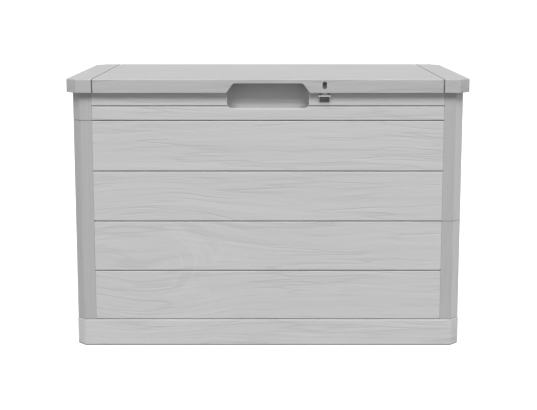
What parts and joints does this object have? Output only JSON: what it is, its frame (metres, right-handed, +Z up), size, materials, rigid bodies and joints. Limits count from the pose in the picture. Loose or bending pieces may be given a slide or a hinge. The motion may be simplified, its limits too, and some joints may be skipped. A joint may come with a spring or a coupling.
{
  "type": "cushion storage box",
  "caption": "Free-standing plastic storage box for cushions, with plank-grooved walls, slanted corners, a hand scoop, a padlock staple and a rear-hinged lid.",
  "frame": {"origin": "on the ground, under the middle of the box", "axes": "+X to the right in a front view; +Y from the front to the back; +Z up"},
  "size_m": [0.78, 0.44, 0.531],
  "materials": {
    "wood_grain_plastic": "light grey polypropylene with a pressed wood grain",
    "hinge_plastic": "mid grey fine-textured plastic",
    "steel": "zinc-plated steel"
  },
  "bodies": {
    "box": {"base_tray": "wood_grain_plastic", "front_panel": "wood_grain_plastic", "back_panel": "wood_grain_plastic", "left_side_panel": "wood_grain_plastic", "right_side_panel": "wood_grain_plastic", "post_front_left_lower": "wood_grain_plastic", "post_front_left_upper": "wood_grain_plastic", "post_front_right_lower": "wood_grain_plastic", "post_front_right_upper": "wood_grain_plastic", "post_back_left_lower": "wood_grain_plastic", "post_back_left_upper": "wood_grain_plastic", "post_back_right_lower": "wood_grain_plastic", "post_back_right_upper": "wood_grain_plastic", "padlock_staple": "wood_grain_plastic", "hinge_bracket_left": "hinge_plastic", "hinge_bracket_right": "hinge_plastic", "hinge_pin_left": "steel", "hinge_pin_right": "steel", "hinge_bracket_screws": "steel"},
    "lid": {"lid_shell": "wood_grain_plastic", "hinge_leaf_left": "hinge_plastic", "hinge_leaf_right": "hinge_plastic", "hinge_leaf_screws": "steel"}
  },
  "joints": [
    {"name": "lid_hinge", "type": "hinge", "parent": "box", "child": "lid", "pos_m": [0, 0.215, 0.508], "axis": [-1, 0, 0], "range_deg": [0, 105]}
  ]
}
